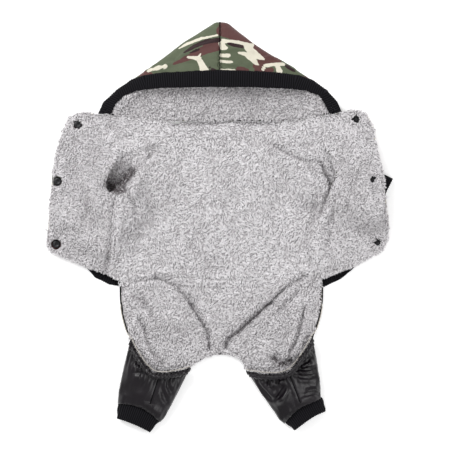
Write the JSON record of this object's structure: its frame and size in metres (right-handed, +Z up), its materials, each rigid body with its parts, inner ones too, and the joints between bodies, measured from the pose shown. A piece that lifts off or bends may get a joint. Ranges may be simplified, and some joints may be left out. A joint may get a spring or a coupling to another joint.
{
  "type": "dog jumpsuit",
  "caption": "Small dog's hooded four-legged winter jumpsuit in camouflage and black nylon, fleece lined, unsnapped and laid open on its back.",
  "frame": {"origin": "on the underside of the back panel, below the middle of the garment's plan", "axes": "+Y from the tail to the hood, +X to the viewer's right, +Z up out of the lining"},
  "size_m": [0.4852, 0.5752, 0.0401],
  "materials": {
    "fleece": "curly sherpa pile, matt",
    "camouflage": "printed woven shell, slight sheen",
    "black_nylon": "coated nylon, satin shine",
    "black_rib": "ribbed knit, matt",
    "pale_binding": "woven tape, matt",
    "snap": "moulded, half gloss"
  },
  "bodies": {
    "root": {"jacket_back_shell": "camouflage", "jacket_back_lining": "fleece", "flap_shell_left": "camouflage", "flap_shell_right": "camouflage", "flap_lining_left": "fleece", "flap_lining_right": "fleece", "snap_left_1": "snap", "snap_left_2": "snap", "snap_left_3": "snap", "snap_right_1": "snap", "snap_right_2": "snap", "snap_right_3": "snap", "waist_rib_band": "black_rib", "sleeve_shell_left": "camouflage", "sleeve_shell_right": "camouflage", "sleeve_lining_left": "fleece", "sleeve_lining_right": "fleece", "sleeve_cuff_left": "black_rib", "sleeve_cuff_right": "black_rib", "hood_shell_left": "camouflage", "hood_shell_right": "camouflage", "hood_lining": "fleece", "hood_rib_band": "black_rib", "seat_shell": "black_nylon", "seat_lining": "fleece", "leg_shell_left": "black_nylon", "leg_shell_right": "black_nylon", "leg_lining_left": "fleece", "leg_lining_right": "fleece", "leg_cuff_left": "black_rib", "leg_cuff_right": "black_rib", "leg_casing_left": "black_nylon", "leg_casing_right": "black_nylon", "leg_binding_left": "pale_binding", "leg_binding_right": "pale_binding"}
  },
  "joints": []
}
